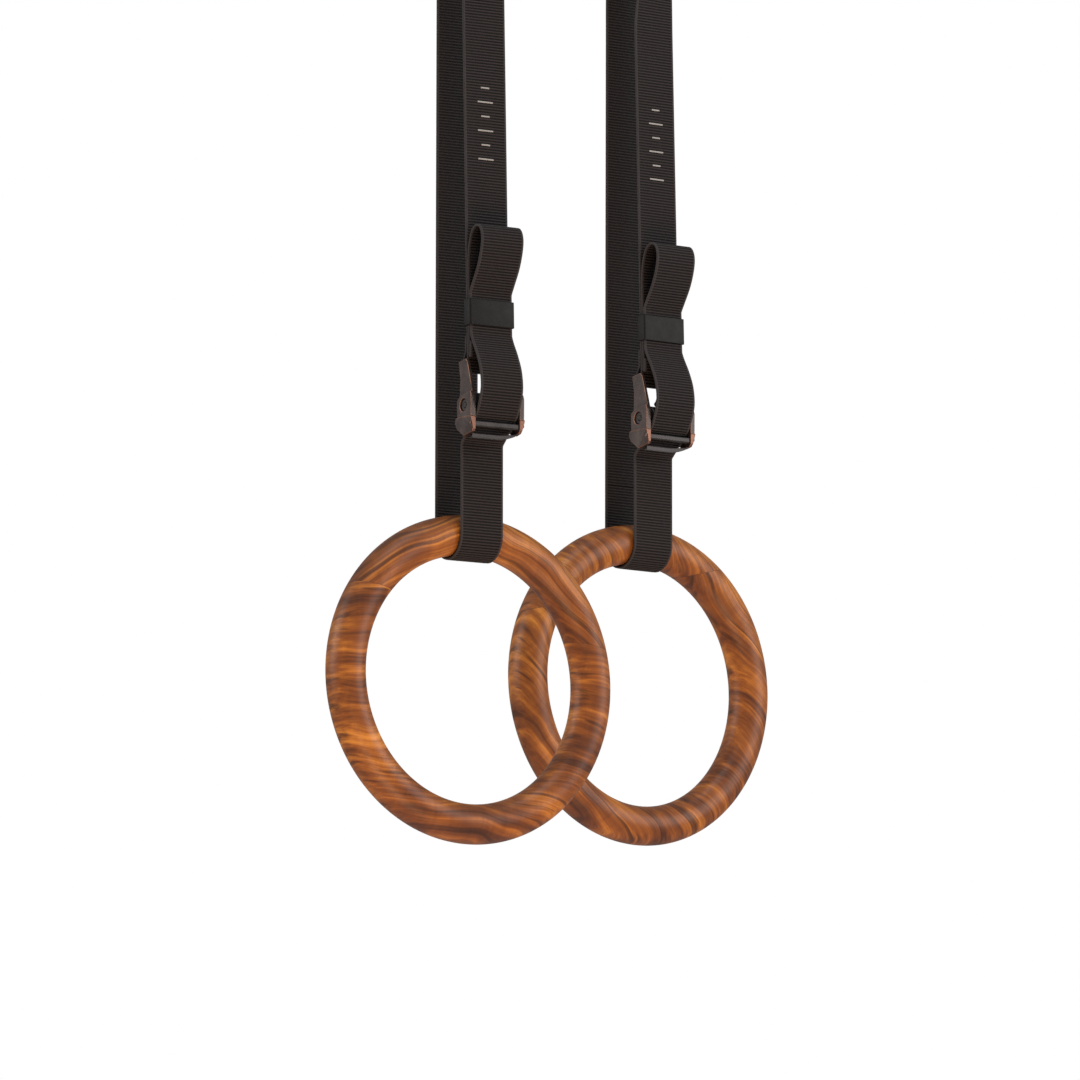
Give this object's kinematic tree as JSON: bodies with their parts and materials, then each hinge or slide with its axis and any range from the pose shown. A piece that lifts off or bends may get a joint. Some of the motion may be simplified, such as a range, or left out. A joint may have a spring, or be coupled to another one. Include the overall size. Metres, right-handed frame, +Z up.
{
  "type": "gymnastics rings",
  "caption": "Pair of wooden gymnastics rings on flat webbing straps with cam buckles and keepers, hung in loops over one round bar.",
  "frame": {"origin": "on the axis of the bar that the straps hang over, midway between the two straps", "axes": "+X along the bar from the left set to the right set, -Y towards the buckles, +Z up"},
  "size_m": [0.4894, 0.1338, 0.7626],
  "materials": {
    "webbing": "ribbed woven webbing",
    "thread": "stitching",
    "keeper_band": "smooth satin",
    "buckle_frame": "dark satin with worn copper edges",
    "dark_metal": "dark satin",
    "steel": "turned",
    "wood": "oiled, satin"
  },
  "bodies": {
    "root": {"left_bar_strap": "webbing", "right_bar_strap": "webbing"},
    "left_shoulders": {"left_shoulder_front": "webbing", "left_shoulder_back": "webbing"},
    "left_upper_straps": {"left_upper_strap_front": "webbing", "left_upper_strap_back": "webbing"},
    "left_straps": {"left_fixed_strap": "webbing", "left_bar_tack": "thread", "left_back_strap": "webbing", "left_lower_strap": "webbing", "left_cam_strap": "webbing", "left_tail": "webbing", "left_tail_hem": "webbing", "left_buckle_cheek_1": "buckle_frame", "left_buckle_cheek_2": "buckle_frame", "left_anchor_bar": "steel", "left_crossbar": "dark_metal", "left_guard_plate": "dark_metal", "left_pivot_pin": "steel", "left_pivot_bush_1": "dark_metal", "left_pivot_bush_2": "dark_metal", "left_cam_spring": "steel"},
    "left_cam": {"left_cam": "dark_metal", "left_thumb_lever": "dark_metal"},
    "left_keeper": {"left_keeper": "keeper_band"},
    "left_bight": {"left_bight": "webbing"},
    "left_ring": {"left_ring": "wood"},
    "right_shoulders": {"right_shoulder_front": "webbing", "right_shoulder_back": "webbing"},
    "right_upper_straps": {"right_upper_strap_front": "webbing", "right_upper_strap_back": "webbing"},
    "right_straps": {"right_fixed_strap": "webbing", "right_bar_tack": "thread", "right_back_strap": "webbing", "right_lower_strap": "webbing", "right_cam_strap": "webbing", "right_tail": "webbing", "right_tail_hem": "webbing", "right_buckle_cheek_1": "buckle_frame", "right_buckle_cheek_2": "buckle_frame", "right_anchor_bar": "steel", "right_crossbar": "dark_metal", "right_guard_plate": "dark_metal", "right_pivot_pin": "steel", "right_pivot_bush_1": "dark_metal", "right_pivot_bush_2": "dark_metal", "right_cam_spring": "steel"},
    "right_cam": {"right_cam": "dark_metal", "right_thumb_lever": "dark_metal"},
    "right_keeper": {"right_keeper": "keeper_band"},
    "right_bight": {"right_bight": "webbing"},
    "right_ring": {"right_ring": "wood"}
  },
  "joints": [
    {"name": "left_swing", "type": "hinge", "parent": "root", "child": "left_shoulders", "pos_m": [-0.13775, 0, 0], "axis": [1, 0, 0], "range_deg": [-60, 60]},
    {"name": "left_sway", "type": "hinge", "parent": "left_shoulders", "child": "left_upper_straps", "pos_m": [-0.13775, 0, -0.0095], "axis": [0, 1, 0], "range_deg": [-5, 15]},
    {"name": "left_twist", "type": "hinge", "parent": "left_upper_straps", "child": "left_straps", "pos_m": [-0.13775, 0, -0.07], "axis": [0, 0, 1], "range_deg": [-90, 90], "stiffness_Nm_per_rad": 0.007},
    {"name": "left_tilt", "type": "hinge", "parent": "left_straps", "child": "left_bight", "pos_m": [-0.13775, 0, -0.523], "axis": [0.8643, -0.503, 0], "range_deg": [-50, 50]},
    {"name": "left_spin", "type": "hinge", "parent": "left_bight", "child": "left_ring", "pos_m": [-0.13775, 0, -0.6275], "axis": [0.503, 0.8643, 0], "continuous": true},
    {"name": "left_keeper_slide", "type": "slide", "parent": "left_straps", "child": "left_keeper", "axis": [0.0131, 0.0225, 0.9997], "range_m": [-0.004, 0.004]},
    {"name": "left_cam_pivot", "type": "hinge", "parent": "left_straps", "child": "left_cam", "pos_m": [-0.15183, -0.0242, -0.433], "axis": [0.8643, -0.503, 0], "range_deg": [-25, 0], "stiffness_Nm_per_rad": 0.02, "springref_deg": 34.38},
    {"name": "right_swing", "type": "hinge", "parent": "root", "child": "right_shoulders", "pos_m": [0.13775, 0, 0], "axis": [1, 0, 0], "range_deg": [-60, 60]},
    {"name": "right_sway", "type": "hinge", "parent": "right_shoulders", "child": "right_upper_straps", "pos_m": [0.13775, 0, -0.0095], "axis": [0, 1, 0], "range_deg": [-15, 5]},
    {"name": "right_twist", "type": "hinge", "parent": "right_upper_straps", "child": "right_straps", "pos_m": [0.13775, 0, -0.07], "axis": [0, 0, 1], "range_deg": [-90, 90], "stiffness_Nm_per_rad": 0.007},
    {"name": "right_tilt", "type": "hinge", "parent": "right_straps", "child": "right_bight", "pos_m": [0.13775, 0, -0.4955], "axis": [0.907, -0.421, 0], "range_deg": [-50, 50]},
    {"name": "right_spin", "type": "hinge", "parent": "right_bight", "child": "right_ring", "pos_m": [0.13775, 0, -0.6], "axis": [0.421, 0.907, 0], "continuous": true},
    {"name": "right_keeper_slide", "type": "slide", "parent": "right_straps", "child": "right_keeper", "axis": [0.0117, 0.0253, 0.9996], "range_m": [-0.004, 0.004]},
    {"name": "right_cam_pivot", "type": "hinge", "parent": "right_straps", "child": "right_cam", "pos_m": [0.12596, -0.0254, -0.4055], "axis": [0.907, -0.421, 0], "range_deg": [-25, 0], "stiffness_Nm_per_rad": 0.02, "springref_deg": 34.38}
  ]
}
